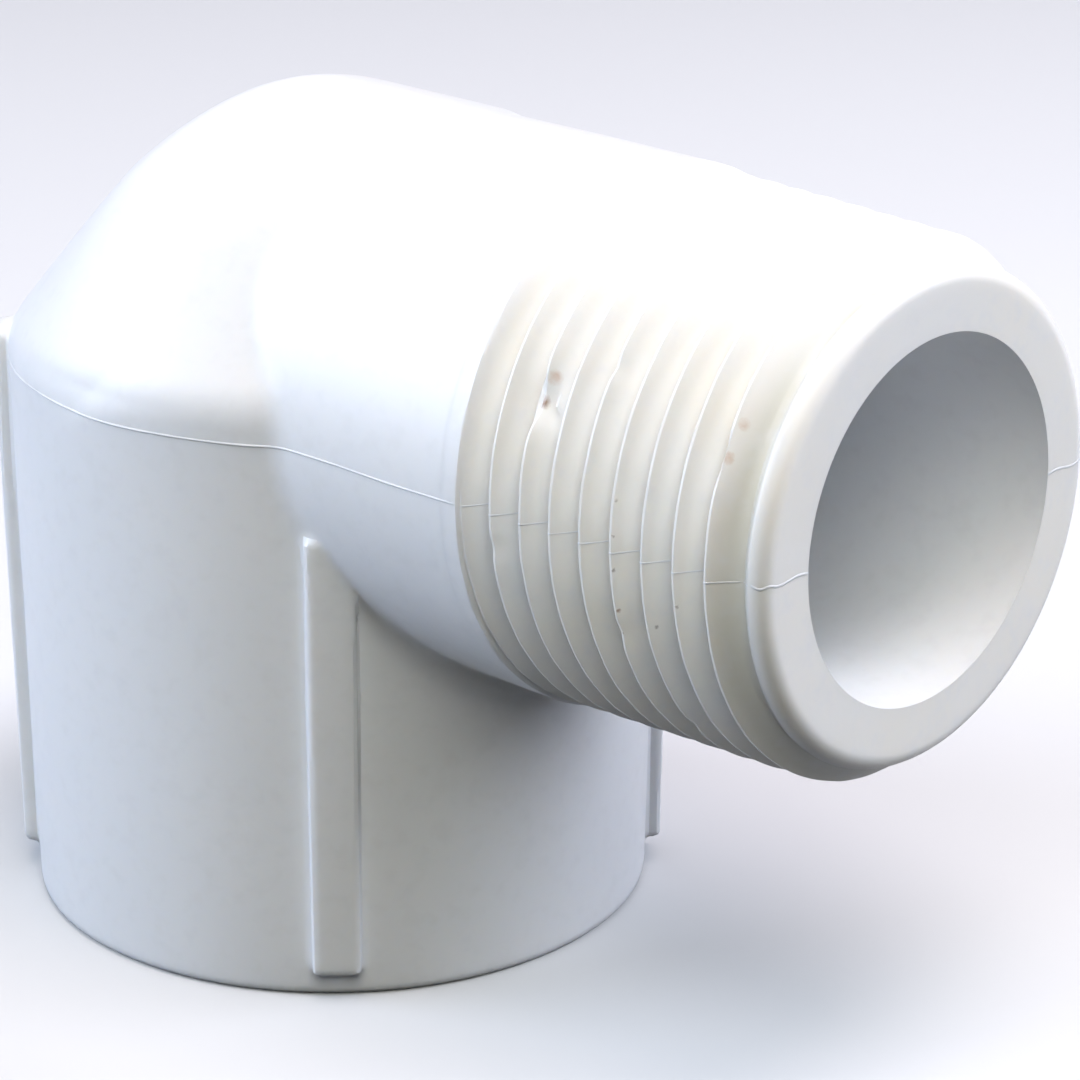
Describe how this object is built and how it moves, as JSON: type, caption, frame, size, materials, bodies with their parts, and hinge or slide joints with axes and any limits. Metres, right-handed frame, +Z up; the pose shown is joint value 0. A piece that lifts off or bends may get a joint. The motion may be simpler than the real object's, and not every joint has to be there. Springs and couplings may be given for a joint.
{
  "type": "threaded pipe elbow",
  "caption": "90 degree PVC street elbow: a ribbed hub with a female tapered pipe thread, a mitred bend and a spigot with a male tapered pipe thread.",
  "frame": {"origin": "centre of the hub's mouth, on the plane of its flat rim, where the hub's axis leaves it", "axes": "+Z up the hub's axis into the bend; +X out along the spigot's axis; +Y completes the right-handed frame"},
  "size_m": [0.0566, 0.0342, 0.0437],
  "materials": {
    "pvc": "semi-gloss white PVC"
  },
  "bodies": {
    "root": {"hub_wall": "pvc", "hub_thread": "pvc", "bend_body": "pvc", "barrel_neck": "pvc", "spigot_tube": "pvc", "spigot_thread": "pvc", "spigot_nose": "pvc", "rib_front_left": "pvc", "rib_front_right": "pvc", "rib_back_left": "pvc", "rib_back_right": "pvc", "parting_line_left": "pvc", "parting_line_back": "pvc", "parting_line_right": "pvc"}
  },
  "joints": []
}
